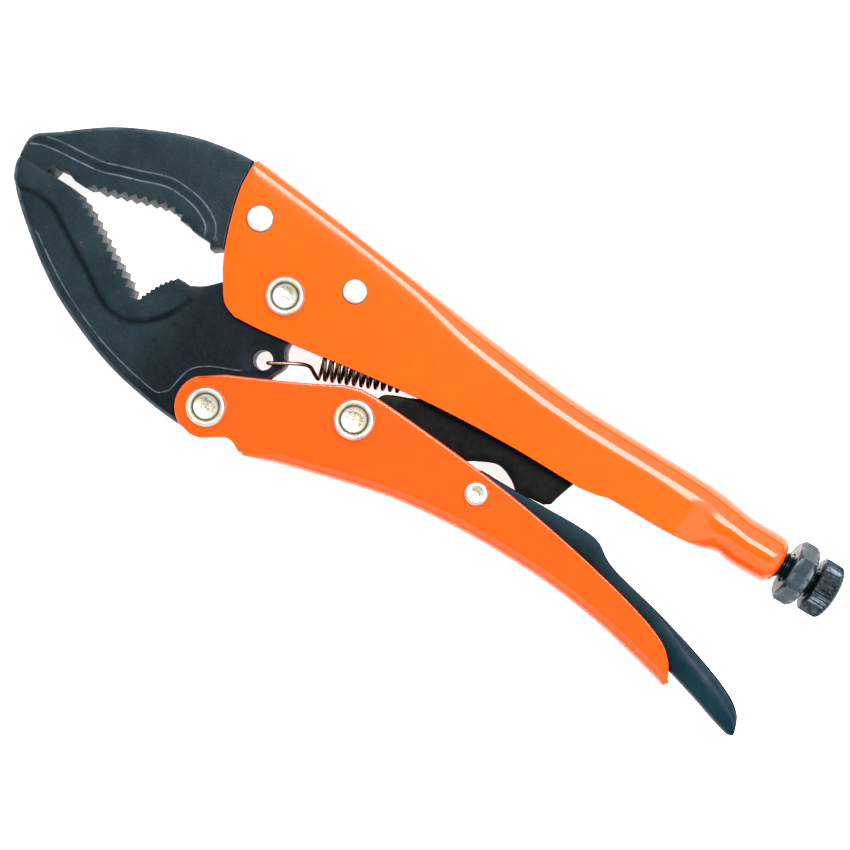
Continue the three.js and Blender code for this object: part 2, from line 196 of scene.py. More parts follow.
def outline(*runs):
    """A closed anticlockwise outline of (point, edge radius) from runs of (points, edge radius)."""
    result = []
    for points, radius in runs:
        for point in points:
            if not result or (point - result[-1][0]).length > 0.05:
                result.append((point, radius))
    if (result[0][0] - result[-1][0]).length < 0.05:
        result.pop()
    area = sum(a.x * b.y - b.x * a.y for (a, _), (b, _) in zip(result, result[1:] + result[:1]))
    return result if area > 0 else result[::-1]


def eased_radii(border):
    """The border with its edge radii averaged along the way, so that they change gently."""
    count, reach = len(border), 4
    result = []
    for i, (point, radius) in enumerate(border):
        near = [border[(i + k) % count][1] for k in range(-reach, reach + 1)]
        result.append((point, min(radius, sum(near) / len(near)) if radius > 0.3 else radius))
    return result


def inward_normals(points):
    """Directions into a closed anticlockwise outline, lengthened at corners."""
    result = []
    for i, point in enumerate(points):
        before = (point - points[i - 1]).normalized()
        after = (points[(i + 1) % len(points)] - point).normalized()
        normal = Vector((-before.y - after.y, before.x + after.x))
        normal.normalize()
        lean = max(0.5, normal.dot(Vector((-before.y, before.x))))
        result.append(normal / lean)
    return result


def inside(point, polygon):
    """True if a point lies inside a closed polygon."""
    odd = False
    x, y = point
    for i in range(len(polygon)):
        a, b = polygon[i - 1], polygon[i]
        if (a[1] > y) != (b[1] > y) and x < (b[0] - a[0]) * (y - a[1]) / (b[1] - a[1]) + a[0]:
            odd = not odd
    return odd


def clear_of(point, holes, margin=0.0):
    """True if a point is further than the margin from every (centre, radius) hole."""
    return all((point - Vector(centre)).length > radius + margin for centre, radius in holes)


class Step:
    """A step in a plate's height along a line: 0 on its right, 1 from `width` on its left.

    Its line can be rubbed bright, its foot gets a painted highlight, and the slope between them gets painted
    shade.
    """

    def __init__(self, points, width, wear_and_painted_light=0.0, foot_highlight=0.0, slope_shade=0.0):
        self.line = spline(points, 0.9)
        self.width = width
        self.wear_and_painted_light = wear_and_painted_light
        self.foot_highlight = foot_highlight
        self.slope_shade = slope_shade

    def share(self, x, y):
        point = Vector((x, y))
        nearest, side = 1e9, 1
        for a, b in zip(self.line, self.line[1:]):
            way = b - a
            foot = a + way * clamp((point - a).dot(way) / way.length_squared)
            distance = (point - foot).length
            if distance < nearest:
                nearest = distance
                side = 1 if way.x * (y - a.y) - way.y * (x - a.x) > 0 else -1
        return clamp(side * nearest / self.width)

    def shifted(self, distance):
        """The line moved to its left."""
        last = len(self.line) - 1
        beside = []
        for i, point in enumerate(self.line):
            way = (self.line[min(i + 1, last)] - self.line[max(i - 1, 0)]).normalized()
            beside.append(point + Vector((-way.y, way.x)) * distance)
        return beside

    def creases(self):
        """(line, wear) along the step, for the mesh to follow."""
        # The slope's negative values are painted shade, and the foot's value is a painted highlight.
        faint = 0.3 * self.slope_shade
        lines = [(self.shifted(-CREASE), 0.0), (self.line, self.wear_and_painted_light)]
        if self.width > 1:
            lines += [(self.shifted(CREASE), -faint), (self.shifted(self.width / 2), -self.slope_shade),
                      (self.shifted(self.width - CREASE), -faint)]
        foot = [(self.shifted(self.width), self.foot_highlight), (self.shifted(self.width + CREASE), 0.0)]
        return lines + foot


# ---- Meshes ----
class Build:
    """Vertices in millimetres about the jaw pivot, their wear and painted light, and faces.

    Values above 0 are rubbing, and on the jaws also a painted highlight; values below 0 are painted shade,
    darkest at -1.
    """

    def __init__(self):
        self.vertices = []
        self.wear_and_painted_light = []
        self.faces = []

    def add(self, x, y, z, wear_and_painted_light=0.0):
        self.vertices.append((x, y, z))
        self.wear_and_painted_light.append(wear_and_painted_light)
        return len(self.vertices) - 1

    def strip(self, first, second, closed=True):
        """Quads between two equally long loops."""
        count = len(first)
        for i in range(count if closed else count - 1):
            k = (i + 1) % count
            self.faces.append((first[i], first[k], second[k], second[i]))

    def strips(self, loops, closed=True):
        for first, second in zip(loops, loops[1:]):
            self.strip(first, second, closed)

    def fan(self, loop, centre):
        for i in range(len(loop)):
            self.faces.append((loop[i], loop[(i + 1) % len(loop)], centre))

    def piece(self, name, material, body, nodes, sharp=32):
        """The finished object, riding on its body in place of its CAD nodes."""
        data = bpy.data.meshes.new(name)
        data.from_pydata([JAW_PIVOT_AT + Vector(v) * MM for v in self.vertices], [], self.faces)
        # The attribute holds rubbing, a painted highlight on the jaws (above 0) and painted shade (below 0).
        layer = data.attributes.new("wear_and_painted_light", "FLOAT", "POINT")
        layer.data.foreach_set("value", self.wear_and_painted_light)
        tidy = bmesh.new()
        tidy.from_mesh(data)
        bmesh.ops.remove_doubles(tidy, verts=tidy.verts, dist=0.004 * MM)
        bmesh.ops.dissolve_degenerate(tidy, edges=tidy.edges, dist=0.002 * MM)
        bmesh.ops.recalc_face_normals(tidy, faces=tidy.faces)
        face_outwards(tidy)
        tidy.to_mesh(data)
        tidy.free()
        data.shade_smooth()
        data.set_sharp_from_angle(angle=math.radians(sharp))
        data.materials.append(material)
        settle(put(name, data), body, nodes)


def face_outwards(tidy):
    """Turns an open skin's faces away from its middle."""
    tidy.normal_update()
    middle = sum((v.co for v in tidy.verts), Vector()) / len(tidy.verts)
    open_edges = any(len(edge.link_faces) == 1 for edge in tidy.edges)
    outward = sum(f.normal.dot(f.calc_center_median() - middle) * f.calc_area() for f in tidy.faces)
    if open_edges and outward < 0:
        bmesh.ops.reverse_faces(tidy, faces=tidy.faces)


def settle(obj, body, nodes):
    """obj rides on the body and stands for the nodes, which are hidden."""
    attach(obj, body)
    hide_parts(*nodes)


def plate_top(build, loop, height, holes, creases):
    """Fills one face of a plate inside its loop, and returns the loops round its holes."""
    grid = 2.2
    points = [Vector(build.vertices[i][:2]) for i in loop]
    owners = list(loop)
    edges = [(i, (i + 1) % len(points)) for i in range(len(points))]
    border = [tuple(p) for p in points]
    rings = []
    for centre, radius in holes:
        first = len(points)
        ring = arc(centre, radius, 0, 360, HOLE_SIDES)[:-1]
        ring_ids = [build.add(p.x, p.y, height(p.x, p.y), 0.15) for p in ring]
        rings.append(ring_ids)
        points += ring
        owners += ring_ids
        edges += [(first + i, first + (i + 1) % len(ring)) for i in range(len(ring))]
    # Values along the creases: rubbing, a painted highlight and painted shade.
    crease_wear_and_light = {}
    for line, wear_and_painted_light in creases:
        last = None
        for p in line:
            clear = (inside(p, border) and clear_of(p, holes, 0.2)
                     and min((p - q).length for q in points[:len(loop)]) > 0.25)
            if clear:
                crease_wear_and_light[len(points)] = wear_and_painted_light
                points.append(p)
                owners.append(None)
                if last is not None:
                    edges.append((last, len(points) - 1))
            last = len(points) - 1 if clear else None
    xs, ys = [p[0] for p in border], [p[1] for p in border]
    for i in range(int((max(xs) - min(xs)) / grid)):
        for k in range(int((max(ys) - min(ys)) / grid)):
            p = Vector((min(xs) + grid * (i + 0.5 + 0.5 * (k % 2)), min(ys) + grid * (k + 0.5)))
            if inside(p, border) and clear_of(p, holes, 0.4):
                points.append(p)
                owners.append(None)
    flat, _, triangles, origins, _, _ = delaunay_2d_cdt(points, edges, [], 0, 1e-4)
    ids = []
    for p, sources in zip(flat, origins):
        owned = [owners[s] for s in sources if owners[s] is not None]
        wear_and_painted_light = sum(crease_wear_and_light.get(s, 0.0) for s in sources) / max(len(sources), 1)
        ids.append(owned[0] if owned else build.add(p.x, p.y, height(p.x, p.y), wear_and_painted_light))
    for triangle in triangles:
        middle = sum((flat[i] for i in triangle), Vector((0, 0))) / 3
        if clear_of(middle, holes) and inside(middle, border):
            build.faces.append(tuple(ids[i] for i in triangle))
    return rings


def relief_plate(border, height, holes=(), creases=()):
    """A plate alike on both sides, with rounded edges, round holes and a height over its plane."""
    # The plate's side walls get painted shade (-0.6); the rounded edges get rubbing.
    edge_wear, side_shade, edge_steps, chamfer = 0.35, -0.6, 4, 0.2
    build = Build()
    border = eased_radii(border)
    normals = inward_normals([p for p, _ in border])
    loops = []
    for k in range(edge_steps + 1):
        turn = math.pi / 2 * k / edge_steps
        wear_and_painted_light = {0: side_shade, edge_steps: 0.0}.get(k, edge_wear)
        loop = []
        for (p, radius), normal in zip(border, normals):
            q = p + normal * radius * (1 - math.cos(turn))
            loop.append(build.add(q.x, q.y, height(q.x, q.y) - radius * (1 - math.sin(turn)), wear_and_painted_light))
        loops.append(loop)
    build.strips(loops)
    rings = plate_top(build, loops[-1], height, [(c, r + chamfer) for c, r in holes], creases)
    bores = []
    for (centre, radius), ring in zip(holes, rings):
        circle = arc(centre, radius, 0, 360, HOLE_SIDES)[:-1]
        bore = [build.add(p.x, p.y, height(p.x, p.y) - chamfer) for p in circle]
        build.strip(ring, bore)
        bores.append(bore)
    mirror(build)
    half = len(build.vertices) // 2
    for loop in [loops[0], *bores]:
        build.strip(loop, [i + half for i in loop])
    return build


def mirror(build):
    """Adds the same vertices and faces on the other side of the middle plane."""
    half = len(build.vertices)
    for (x, y, z), wear_and_painted_light in zip(list(build.vertices), list(build.wear_and_painted_light)):
        build.add(x, y, -z, wear_and_painted_light)
    build.faces += [tuple(i + half for i in reversed(face)) for face in build.faces]


def lathe(build, points, sides, place):
    """Turns (radius, along, wear) points; place(radius, along, angle) gives a point."""
    rings = []
    for radius, along, wear_and_painted_light in points:
        if radius == 0:
            rings.append(build.add(*place(0, along, 0), wear_and_painted_light))
        else:
            rings.append([build.add(*place(radius, along, turn), wear_and_painted_light) for turn in full_turn(sides)])
    for first, second in zip(rings, rings[1:]):
        if isinstance(first, int):
            build.fan(second, first)
        elif isinstance(second, int):
            build.fan(first, second)
        else:
            build.strip(first, second)


def tube(name, path, radius, material):
    """A round wire along a path of points in millimetres."""
    curve = bpy.data.curves.new(name, "CURVE")
    curve.dimensions = "3D"
    curve.bevel_depth = radius * MM
    curve.bevel_resolution = 2
    curve.use_fill_caps = True
    run = curve.splines.new("POLY")
    run.points.add(len(path) - 1)
    for point, p in zip(run.points, path):
        point.co = (*(JAW_PIVOT_AT + Vector(p) * MM), 1)
    holder = put(name + "_path", curve)
    data = bpy.data.meshes.new_from_object(holder.evaluated_get(bpy.context.evaluated_depsgraph_get()))
    bpy.data.objects.remove(holder)
    data.name = name
    data.shade_smooth()
    data.materials.clear()
    data.materials.append(material)
    return put(name, data)


# ---- Materials ----
class Finish:
    """A material whose colour, roughness and bump come from noise in the piece's own coordinates."""

    def __init__(self, name, metallic, roughness):
        self.material = bpy.data.materials.new(name)
        self.material.use_nodes = True
        self.tree = self.material.node_tree
        self.shader = self.tree.nodes["Principled BSDF"]
        self.set("Metallic", metallic)
        self.set("Roughness", roughness)
        self.place = self.tree.nodes.new("ShaderNodeTexCoord").outputs["Object"]

    def feed(self, socket, value):
        """Gives a socket a number, a colour or another node's output."""
        if isinstance(value, bpy.types.NodeSocket):
            self.tree.links.new(value, socket)
        else:
            socket.default_value = (*value, 1) if isinstance(value, tuple) else value

    def set(self, socket, value):
        self.feed(self.shader.inputs[socket], value)

    def node(self, kind, output, inputs, **settings):
        """One output of a new node."""
        node = self.tree.nodes.new("ShaderNode" + kind)
        for name, value in settings.items():
            setattr(node, name, value)
        for socket, value in inputs.items():
            self.feed(node.inputs[socket], value)
        return node.outputs[output]

    def noise(self, size_mm, detail, rough=0.55):
        """Noise whose features are about size_mm across."""
        return self.node("TexNoise", "Fac", {"Scale": 1 / (size_mm * MM), "Detail": detail,
                                             "Roughness": rough, "Vector": self.place})

    def spots(self, size_mm):
        """Distance from the nearest of many scattered points."""
        return self.node("TexVoronoi", "Distance", {"Scale": 1 / (size_mm * MM), "Vector": self.place})

    def range(self, value, low, high, to_low=0.0, to_high=1.0):
        return self.node("MapRange", "Result", {"From Min": low, "From Max": high, "To Min": to_low,
                                                "To Max": to_high, "Value": value})

    def patches(self, size_mm, detail, *limits, rough=0.55):
        """Noise brought into range by the limits."""
        return self.range(self.noise(size_mm, detail, rough), *limits)

    def times(self, a, b):
        return self.node("Math", 0, {0: a, 1: b}, operation="MULTIPLY")

    def wear_and_painted_light(self):
        return self.node("Attribute", "Fac", {}, attribute_name="wear_and_painted_light")

    def worn(self):
        """The share of rubbing, from 0 to 1."""
        return self.range(self.wear_and_painted_light(), 0, 1)

    def mix(self, share, first, second):
        """A colour between two; each is a colour or another node's output."""
        return self.node("Mix", 2, {"Factor": share, 6: first, 7: second}, data_type="RGBA")

    def shaded(self, tone, dark):
        """The tone, going to the dark of painted shade where the value is below 0."""
        return self.mix(self.range(self.wear_and_painted_light(), 0, -1), tone, dark)

    def roughness(self, size_mm, detail, low, high):
        """Roughness that wanders between low and high."""
        self.set("Roughness", self.patches(size_mm, detail, 0.3, 0.7, low, high))

    def bump(self, *layers):
        """Bumps from (height, depth in mm) layers, one on another."""
        under = {}
        for height, depth_mm in layers:
            inputs = {"Strength": 1.0, "Distance": depth_mm * MM, "Height": height, **under}
            under = {"Normal": self.node("Bump", "Normal", inputs)}
        self.set("Normal", under["Normal"])


def orange_enamel(name, deep, light):
    """Gloss paint with faint flow marks, a few dust specks and slightly uneven depth."""
    paint = Finish(name, 0.0, 0.3)
    paint.set("Specular IOR Level", 0.06)
    paint.set("Coat Weight", 1.0)
    paint.set("Coat Roughness", 0.07)
    depth = paint.patches(30, 2, 0.35, 0.65)
    tone = paint.mix(depth, deep, light)
    dust = paint.range(paint.spots(4.5), 0.0, 0.04, 0.3, 0.0)
    edge = paint.times(paint.wear_and_painted_light(), paint.patches(2.2, 4, 0.45, 0.7, 0.15, 0.8))
    tone = paint.mix(dust, tone, (0.55, 0.12, 0.02))
    paint.set("Base Color", paint.mix(edge, tone, (0.6, 0.07, 0.01)))
    paint.roughness(4, 4, 0.24, 0.36)
    paint.bump((paint.noise(2.4, 2), 0.012), (paint.noise(0.35, 2), 0.0025))
    return paint.material


def forged_steel():
    """Dark forged steel: grainy, with edges rubbed bright, a painted highlight and painted shade along
    creases and walls, and a few rust specks.
    """
    steel = Finish("forged_steel", 0.0, 0.4)
    steel.set("Specular IOR Level", 0.14)
    steel.set("Specular Tint", (0.65, 0.78, 1.0))
    patches = steel.patches(7, 4, 0.35, 0.65)
    tone = steel.mix(patches, (0.004, 0.011, 0.013), (0.008, 0.018, 0.021))
    grain = steel.patches(0.5, 4, 0.3, 0.72)
    tone = steel.mix(steel.times(grain, steel.range(patches, 0, 1, 0.25, 0.6)), tone, (0.018, 0.03, 0.034))
    rust = steel.patches(1.6, 5, 0.66, 0.74, rough=0.7)
    tone = steel.mix(rust, tone, (0.09, 0.055, 0.035))
    # Painted shade where the attribute is below 0.
    tone = steel.shaded(tone, (0.0015, 0.0025, 0.003))
    # Rubbed edges, and the painted highlight at the upper jaw's rim foot.
    worn = steel.worn()
    rubbed = steel.times(worn, steel.patches(2.5, 5, 0.38, 0.6, 0.3, 0.85, rough=0.6))
    steel.set("Base Color", steel.mix(rubbed, tone, (0.15, 0.18, 0.21)))
    steel.roughness(1.1, 4, 0.3, 0.5)
    steel.bump((steel.noise(5, 3), 0.09), (steel.noise(0.45, 4), 0.035))
    return steel.material


def black_steel(name, dark, light):
    """Thin satin black over steel, with rubbed edges and painted shade on the link's walls and the lever's
    neck.
    """
    steel = Finish(name, 0.0, 0.3)
    steel.set("Specular IOR Level", 0.08)
    tone = steel.mix(steel.patches(9, 4, 0.35, 0.65), dark, light)
    # Painted shade where the attribute is below 0.
    tone = steel.shaded(tone, (0.002, 0.0025, 0.003))
    worn = steel.worn()
    rubbed = steel.times(worn, steel.patches(4, 3, 0.45, 0.68, 0.1, 0.35))
    steel.set("Base Color", steel.mix(rubbed, tone, (0.08, 0.1, 0.13)))
    steel.roughness(1.5, 4, 0.22, 0.34)
    steel.bump((steel.noise(9, 2), 0.02), (steel.noise(0.5, 3), 0.004))
    return steel.material


def zinc_plate():
    """Bright zinc with a yellowish cast in patches, a pebbled, tarnished cup and painted shade on the cup's
    inner wall.
    """
    zinc = Finish("zinc_plate", 1.0, 0.28)
    cast = zinc.patches(2.6, 3, 0.4, 0.62)
    tone = zinc.mix(cast, (0.7, 0.69, 0.64), (0.68, 0.6, 0.38))
    speck = zinc.patches(0.7, 4, 0.5, 0.62)
    cup = zinc.worn()
    tone = zinc.mix(zinc.times(cup, speck), tone, (0.33, 0.26, 0.2))
    tone = zinc.mix(zinc.patches(1.6, 4, 0.6, 0.75, 0.0, 0.4), tone, (0.3, 0.27, 0.22))
    # Painted shade where the attribute is below 0: the cup's inner wall.
    zinc.set("Base Color", zinc.shaded(tone, (0.1, 0.085, 0.06)))
    zinc.roughness(2, 3, 0.28, 0.42)
    zinc.bump((zinc.times(cup, zinc.noise(0.8, 3)), 0.12), (zinc.noise(2.5, 2), 0.012))
    return zinc.material


def dull_steel():
    """Blotchy bare steel with a dark rim where it meets the paint."""
    steel = Finish("dull_steel", 0.7, 0.5)
    tone = steel.mix(steel.patches(1.5, 4, 0.38, 0.62), (0.46, 0.41, 0.34), (0.56, 0.53, 0.48))
    tone = steel.mix(steel.patches(0.8, 4, 0.62, 0.74, 0, 0.6), tone, (0.25, 0.18, 0.12))
    steel.set("Base Color", steel.mix(steel.wear_and_painted_light(), tone, (0.1, 0.035, 0.015)))
    steel.roughness(0.7, 3, 0.4, 0.62)
    steel.bump((steel.noise(1.0, 4), 0.06), (steel.noise(0.3, 3), 0.015))
    return steel.material


def blued_steel():
    """Dark blued steel, with oily unevenness and rubbed edges."""
    steel = Finish("blued_steel", 0.85, 0.3)
    patches = steel.patches(3, 4, 0.35, 0.65)
    tone = steel.mix(patches, (0.012, 0.022, 0.027), (0.024, 0.038, 0.045))
    tone = steel.mix(steel.patches(1.0, 5, 0.66, 0.76, 0, 0.5), tone, (0.1, 0.08, 0.07))
    rubbed = steel.times(steel.wear_and_painted_light(), steel.patches(1.3, 4, 0.42, 0.6, 0.1, 1.0))
    steel.set("Base Color", steel.mix(rubbed, tone, (0.12, 0.14, 0.17)))
    steel.roughness(1.2, 4, 0.22, 0.42)
    steel.bump((steel.noise(2.2, 3), 0.015), (steel.noise(0.4, 3), 0.005))
    return steel.material


def spring_steel():
    """Oiled spring wire, brown-gold where it catches the light."""
    wire = Finish("spring_steel", 1.0, 0.3)
    tone = wire.mix(wire.patches(2, 4, 0.4, 0.6), (0.1, 0.075, 0.05), (0.3, 0.225, 0.13))
    wire.set("Base Color", wire.mix(wire.patches(0.7, 4, 0.58, 0.7), tone, (0.07, 0.05, 0.04)))
    wire.roughness(0.8, 3, 0.22, 0.42)
    wire.bump((wire.noise(0.3, 3), 0.008), (wire.noise(1.5, 2), 0.01))
    return wire.material


UPPER_ENAMEL = orange_enamel("orange_enamel", (0.94, 0.088, 0.001), (0.96, 0.096, 0.001))
LOWER_ENAMEL = orange_enamel("orange_enamel_lower", (0.94, 0.076, 0.004), (0.96, 0.083, 0.004))
FORGED_STEEL = forged_steel()
LINK_STEEL = black_steel("black_steel", (0.003, 0.003, 0.0035), (0.006, 0.006, 0.006))
# The lever's teal tone is a painted reflection of cool light on satin black steel.
LEVER_STEEL_TEAL_SHEEN = black_steel("black_steel_lever_teal_sheen", (0.003, 0.018, 0.028), (0.006, 0.026, 0.038))
ZINC = zinc_plate()
DULL_STEEL = dull_steel()
BLUED_STEEL = blued_steel()
SPRING_STEEL = spring_steel()


# ---- Handles: pressed sheet, drawn as its outer skin and then given its thickness ----
# The shares give the rows of the mesh up a wall, closer together at its free edge.
UPPER_SHARES = [0, 0.025, 0.055, 0.1, 0.17, 0.27, 0.4, 0.55, 0.7, 0.85, 1]
LOWER_SHARES = [0, 0.06, 0.13, 0.2, 0.3, 0.4, 0.5, 0.6, 0.7, 0.8, 0.88, 0.94, 1]
ARC_STEPS = 7
WEB_STEPS = 4


def channel_section(shares, edge, ridge, half_width, corner):
    """(y, z) points from one wall's free edge over the ridge to the other's."""
    up = 1 if ridge > edge else -1
    wall_top = ridge - up * corner
    points = [(lerp(edge, wall_top, share), half_width) for share in shares]
    for k in range(1, ARC_STEPS + 1):
        turn = math.pi / 2 * k / ARC_STEPS
        points.append((wall_top + up * corner * math.sin(turn), half_width - corner * (1 - math.cos(turn))))
    flat = half_width - corner
    across = [(ridge, lerp(flat, -flat, k / WEB_STEPS)) for k in range(1, WEB_STEPS)]
    return points + across + [(y, -z) for y, z in reversed(points)]


def oval_section(edge, ridge, half_width, count):
    """(y, z) points once round an oval, from its bottom back to its bottom."""
    middle, half_height = (edge + ridge) / 2, (ridge - edge) / 2
    angles = [math.pi * (2 * k / (count - 1) - 0.5) for k in range(count)]
    return [(middle + half_height * math.sin(a), half_width * math.cos(a)) for a in angles]


def skin(stations, section, front, front_reach, first_columns):
    """A grid of points in rows along X; front(y) gives where each row begins."""
    build = Build()
    count = len(section(stations[0]))
    starts = []
    for row in range(count):
        x = stations[0]
        for _ in range(25):
            x = lerp(x, front(section(x)[row][0]), 0.6)
        starts.append(x)
    columns = []
    for x in stations:
        ease = 1 - smoothstep(x, stations[0], front_reach)
        column = []
        for row in range(count):
            own_x = x + (starts[row] - stations[0]) * ease
            y, z = section(own_x)[row]
            column.append(build.add(own_x, y, z, 1.0 if row in (0, count - 1) else 0.0))
        columns.append(column)
    for k in range(len(columns) - 1):
        for row in range(count - 1):
            if k >= max(first_columns(row), first_columns(row + 1)):
                near, far = columns[k], columns[k + 1]
                build.faces.append((near[row], near[row + 1], far[row + 1], far[row]))
    for index in columns[0]:
        build.wear_and_painted_light[index] = 1.0
    return build


def rim_directions(mesh):
    """For each vertex on a free edge of the skin, the way that points off the skin."""
    ways = {}
    for edge in mesh.edges:
        if edge.is_boundary:
            a, b = edge.verts
            face = edge.link_faces[0]
            way = (b.co - a.co).normalized().cross(face.normal)
            if way.dot((a.co + b.co) / 2 - face.calc_center_median()) < 0:
                way.negate()
            for vertex in edge.verts:
                ways[vertex] = ways.get(vertex, Vector()) + way
    return {vertex: way.normalized() for vertex, way in ways.items()}


def as_sheet(skin_build, name, material, body, nodes):
    """The skin thickened inwards by the sheet's thickness, with rounded edges."""
    mesh = bmesh.new()
    corners = [mesh.verts.new(v) for v in skin_build.vertices]
    for face in skin_build.faces:
        mesh.faces.new([corners[i] for i in face])
    bmesh.ops.delete(mesh, geom=[v for v in mesh.verts if not v.link_faces], context="VERTS")
    bmesh.ops.remove_doubles(mesh, verts=mesh.verts, dist=0.004)
    bmesh.ops.recalc_face_normals(mesh, faces=mesh.faces)
    face_outwards(mesh)
    mesh.normal_update()
    ways = rim_directions(mesh)
    steps, rim_radius, room_share = 3, 0.34, 0.6
    build = Build()
    outer, inner, rims = {}, {}, {}
    for v in mesh.verts:
        room = [e.calc_length() for e in v.link_edges if not e.is_boundary]
        soft = min([rim_radius] + [room_share * length for length in room])
        way = ways.get(v, Vector())
        outer[v] = build.add(*(v.co - way * soft))
        inner[v] = build.add(*(v.co - way * soft - v.normal * SHEET))
        if v in ways:
            ring = [outer[v]]
            for k in range(1, 2 * steps + 1):
                turn = math.pi / 2 * (k if k <= steps else 2 * steps + 1 - k) / steps
                sunk = soft * (1 - math.cos(turn))
                sunk = sunk if k <= steps else SHEET - sunk
                ring.append(build.add(*(v.co - way * soft * (1 - math.sin(turn)) - v.normal * sunk), 1.0))
            rims[v] = ring + [inner[v]]
    for face in mesh.faces:
        build.faces.append(tuple(outer[v] for v in face.verts))
        build.faces.append(tuple(inner[v] for v in reversed(face.verts)))
    for edge in mesh.edges:
        if edge.is_boundary:
            build.strip(*[rims[v] for v in edge.verts], closed=False)
    mesh.free()
    build.piece(name, material, body, nodes, sharp=60)


def spaced(start, end, spacing):
    """Equal steps from start, stopping short of end."""
    count = math.ceil((end - start) / spacing)
    return [lerp(start, end, k / count) for k in range(count)]


def upper_handle():
    """A channel with its open side down, which closes into the screw's barrel at the tail."""
    back = profile([(-22, 21.04), (-17.5, 20.65), (0, 18.7), (20, 16.3), (40, 14.2), (60, 12.3), (80, 11.9),
                    (96, 11.7), (101, 10.9), (104, 10.5), (111.4, 10.5), (112.4, 10.1), (112.9, 9.6),
                    (113.2, 8.9)])
    belly = profile([(-6.6, -8.8), (0, -8.3), (20, -5.5), (36, -3.5), (54, -2.5), (70, -2.5), (73.3, -2.2),
                     (76, -1.3), (92, -1), (98, -0.3), (101, 0.6), (104, 0.1), (111.4, 0.1), (112.4, 0.5),
                     (112.9, 1), (113.2, 1.7)])
    corner = profile([(-22, 2.2), (20, 2.2), (38, 4.4), (90, 4.6), (104, 4.8)])
    waist, waist_width = 101, 5.0
    barrel_width = profile([(waist, waist_width), (104, 5.2), (111.4, 5.2), (112.4, 4.8), (112.9, 4.3),
                            (113.2, 3.6)])

    def half_width(x):
        if x < waist:
            return lerp(WALL, waist_width, smoothstep(x, 84, waist))
        return barrel_width(x)

    def section(x):
        bend = min(corner(x), half_width(x) - 0.3)
        low = belly(max(x, LOWER_CORNER[-1][0]))
        open_shape = channel_section(UPPER_SHARES, low, back(x), half_width(x), bend)
        closing = smoothstep(x, 92, 102)
        closed = oval_section(belly(x), back(x), half_width(x), len(open_shape))
        return [(lerp(a[0], b[0], closing), lerp(a[1], b[1], closing)) for a, b in zip(open_shape, closed)]

    front = profile(sorted((p.y, p.x) for p in spline(HANDLE_FRONT + LOWER_CORNER, 0.5)))
    stations = spaced(-19, 6, 1.6) + spaced(6, 90, 2.8) + spaced(90, 104, 1.2) + spaced(104, 111.4, 1.9)
    stations += [111.4, 111.9, 112.4, 112.7, 112.95, 113.12, 113.2]
    build = skin(stations, section, front, 6, lambda row: 0)
    as_sheet(build, "upper_handle_shell", UPPER_ENAMEL, "frame", ["upper_handle"])


def spring_lug():
    """The small tab inside the handle that holds the spring's rear hook."""
    lug = Build()
    low, high = (33.8, -0.5, -5.2), (35, 1, 1.5)
    soft, fine = 0.25, 0.07
    corners = [(low[0], low[1]), (high[0], low[1]), (high[0], high[1]), (low[0], high[1])]
    middle = ((low[0] + high[0]) / 2, (low[1] + high[1]) / 2)
    loops = []
    for z, inset in [(low[2], 0), (high[2] - soft, 0), (high[2] - fine, soft * 0.3), (high[2], soft)]:
        loop = []
        for cx, cy in corners:
            toward = (1 if middle[0] > cx else -1, 1 if middle[1] > cy else -1)
            for dx, dy in ((soft, 0), (fine, fine), (0, soft)):
                dx, dy = (dy, dx) if toward[0] * toward[1] < 0 else (dx, dy)
                loop.append(lug.add(cx + toward[0] * (dx + inset), cy + toward[1] * (dy + inset), z))
        loops.append(loop)
    lug.strips(loops)
    lug.fan(loops[0], lug.add(*middle, low[2]))
    lug.fan(loops[-1], lug.add(*middle, high[2]))
    lug.piece("spring_lug", UPPER_ENAMEL, "frame", ["upper_handle"])


def lower_handle():
    """A channel with its open side up; in front of the web only its two walls go on."""
    belly = profile([(-10, -36.6), (0, -34.2), (8.8, -31.8), (17.4, -29.2), (26.7, -26.7), (38, -24),
                     (50, -22.5), (62, -22), (76, -22.5), (88, -24.1), (98, -26.3), (106, -28.3)])
    top_line = spline([(-8.6, -22.6), (-6.3, -22), (-4, -20.5), (4, -16.8), (14, -12), (20, -8.9), (24, -8),
                       (32, -8.3), (50, -9.8), (62, -11.3), (76, -13.8), (90, -17), (99, -20), (103, -23),
                       (104.8, -26)])
    top = profile([tuple(p) for p in top_line])
    notch = profile([(-2.2, -33.48), (-0.5, -33.27), (0.1, -33), (4.4, -30.4), (6.2, -30.6), (7.6, -31.4),
                     (8.8, -31.8)])
    web_start, nose_radius = 8.8, 6.38

    def corner(x):
        return min(lerp(0.5, 2.6, smoothstep(x, web_start, 16)), (top(x) - belly(x)) * 0.62)

    def section(x):
        if x < web_start:
            low = notch(max(x, HANDLE_PIVOT[0]))
            return channel_section(LOWER_SHARES, top(x), low - 0.5, WALL, 0.5)
        return channel_section(LOWER_SHARES, top(x), belly(x), WALL, corner(x))

    def front(y):
        reach = nose_radius ** 2 - (y - HANDLE_PIVOT[1]) ** 2
        return HANDLE_PIVOT[0] - math.sqrt(max(reach, 0.0))

    stations = spaced(-8.6, web_start, 0.9)
    first_web = len(stations)
    stations += spaced(web_start, 20, 1.4) + spaced(20, 95, 2.8) + spaced(95, 104.9, 0.9) + [104.9]
    walls = len(LOWER_SHARES)

    def first_column(row):
        count = 2 * (walls + ARC_STEPS) + WEB_STEPS - 1
        return 0 if row < walls or row >= count - walls else first_web

    build = skin(stations, section, front, 7, first_column)
    as_sheet(build, "lower_handle_shell", LOWER_ENAMEL, "grip", ["lower_handle"])


